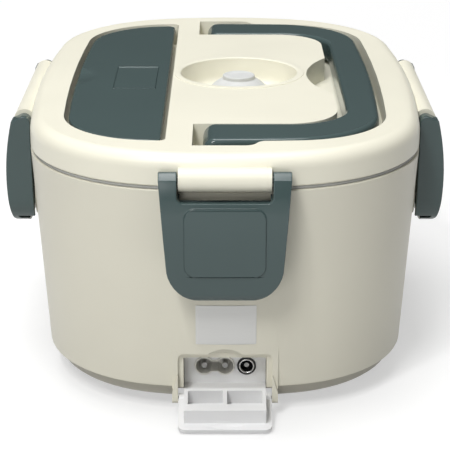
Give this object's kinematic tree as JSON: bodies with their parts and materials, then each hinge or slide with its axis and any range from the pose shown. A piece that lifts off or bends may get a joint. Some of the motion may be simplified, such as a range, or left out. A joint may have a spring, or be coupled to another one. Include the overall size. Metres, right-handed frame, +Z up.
{
  "type": "electric lunch box",
  "caption": "Electric lunch box: oblong heated case, latched lift-off lid with folding handle, cutlery compartment and steam valve, two food containers inside.",
  "frame": {"origin": "table level under the middle of the case, on the feet's undersides", "axes": "+Z up; -Y out of the short front end with the socket bay; +X to the right seen from the front"},
  "size_m": [0.1938, 0.2794, 0.1145],
  "materials": {
    "case_shell": "smooth moulded plastic, satin gloss",
    "lid_plastic": "smooth moulded plastic, satin gloss",
    "base_plastic": "fine matt moulded plastic",
    "slate_plastic": "smooth moulded plastic, semi-gloss",
    "white_plastic": "matt moulded plastic",
    "container_plastic": "smooth food-grade plastic",
    "dark_plastic": "matt moulded plastic",
    "socket_plastic": "matt moulded plastic",
    "rubber": "matt rubber",
    "seal_silicone": "matt silicone",
    "valve_silicone": "matt silicone",
    "stainless": "fine satin stainless steel",
    "plated_steel": "bright plated steel",
    "heater_metal": "as-extruded aluminium",
    "board_green": "solder mask",
    "ceramic": "matt ceramic sleeve"
  },
  "bodies": {
    "case": {"outer_shell": "case_shell", "base_plate": "base_plastic", "feet": "rubber", "base_screws": "plated_steel", "heating_basin": "stainless", "heater_block": "heater_metal", "heater_clamp": "plated_steel", "clamp_nuts": "plated_steel", "thermostat": "dark_plastic", "thermal_fuse": "ceramic", "power_board": "board_green", "board_parts": "dark_plastic", "socket_panel": "white_plastic", "ac_inlet": "socket_plastic", "ac_pins": "plated_steel", "dc_jack": "dark_plastic", "jack_contact": "plated_steel", "flap_pin": "plated_steel"},
    "flap": {"port_flap": "white_plastic"},
    "main_tub": {"main_container": "stainless"},
    "side_tub": {"side_container": "container_plastic"},
    "side_tub_lid": {"side_container_lid": "container_plastic"},
    "lid": {"lid_shell": "lid_plastic", "lid_liner": "white_plastic", "lid_gasket": "seal_silicone", "cover_pins": "plated_steel", "handle_pins": "plated_steel", "latch_pins": "plated_steel"},
    "valve": {"vent_valve": "valve_silicone"},
    "cover": {"compartment_cover": "slate_plastic"},
    "cutlery": {"spoon": "stainless", "fork": "stainless"},
    "carry_handle": {"handle": "slate_plastic"},
    "latch_front": {"front_latch": "slate_plastic"},
    "latch_rear": {"rear_latch": "slate_plastic"},
    "latch_left": {"left_latch": "slate_plastic"},
    "latch_right": {"right_latch": "slate_plastic"}
  },
  "joints": [
    {"name": "lid_lift", "type": "slide", "parent": "case", "child": "lid", "axis": [0, 0, 1], "range_m": [0, 0.13]},
    {"name": "main_lift", "type": "slide", "parent": "case", "child": "main_tub", "axis": [0, 0, 1], "range_m": [0, 0.08]},
    {"name": "side_lift", "type": "slide", "parent": "case", "child": "side_tub", "axis": [0, 0, 1], "range_m": [0, 0.066]},
    {"name": "side_lid_lift", "type": "slide", "parent": "side_tub", "child": "side_tub_lid", "axis": [0, 0, 1], "range_m": [0, 0.021]},
    {"name": "flap_hinge", "type": "hinge", "parent": "case", "child": "flap", "pos_m": [0, -0.12165, 0.0075], "axis": [-1, 0, 0], "range_deg": [0, 108]},
    {"name": "vent_lift", "type": "slide", "parent": "lid", "child": "valve", "axis": [0, 0, 1], "range_m": [0, 0.003]},
    {"name": "cover_hinge", "type": "hinge", "parent": "lid", "child": "cover", "pos_m": [-0.028, 0, 0.1117], "axis": [0, 1, 0], "range_deg": [0, 95]},
    {"name": "cutlery_lift", "type": "slide", "parent": "lid", "child": "cutlery", "axis": [0, 0, 1], "range_m": [0, 0.0135]},
    {"name": "handle_hinge", "type": "hinge", "parent": "lid", "child": "carry_handle", "pos_m": [-0.0037, 0, 0.10925], "axis": [0, -1, 0], "range_deg": [0, 90]},
    {"name": "front_latch_hinge", "type": "hinge", "parent": "lid", "child": "latch_front", "pos_m": [0, -0.1298, 0.1052], "axis": [-1, 0, 0], "range_deg": [0, 110]},
    {"name": "rear_latch_hinge", "type": "hinge", "parent": "lid", "child": "latch_rear", "pos_m": [0, 0.1298, 0.1052], "axis": [1, 0, 0], "range_deg": [0, 110]},
    {"name": "left_latch_hinge", "type": "hinge", "parent": "lid", "child": "latch_left", "pos_m": [-0.0878, 0, 0.1052], "axis": [0, 1, 0], "range_deg": [0, 110]},
    {"name": "right_latch_hinge", "type": "hinge", "parent": "lid", "child": "latch_right", "pos_m": [0.0878, 0, 0.1052], "axis": [0, -1, 0], "range_deg": [0, 110]}
  ],
  "couplings": [
    {"joint": "main_lift", "follows": "lid_lift", "ratio": 0.6},
    {"joint": "side_lift", "follows": "lid_lift", "ratio": 0.5},
    {"joint": "side_lid_lift", "follows": "lid_lift", "ratio": 0.15},
    {"joint": "cutlery_lift", "follows": "cover_hinge", "m_per_rad": 0.008}
  ]
}
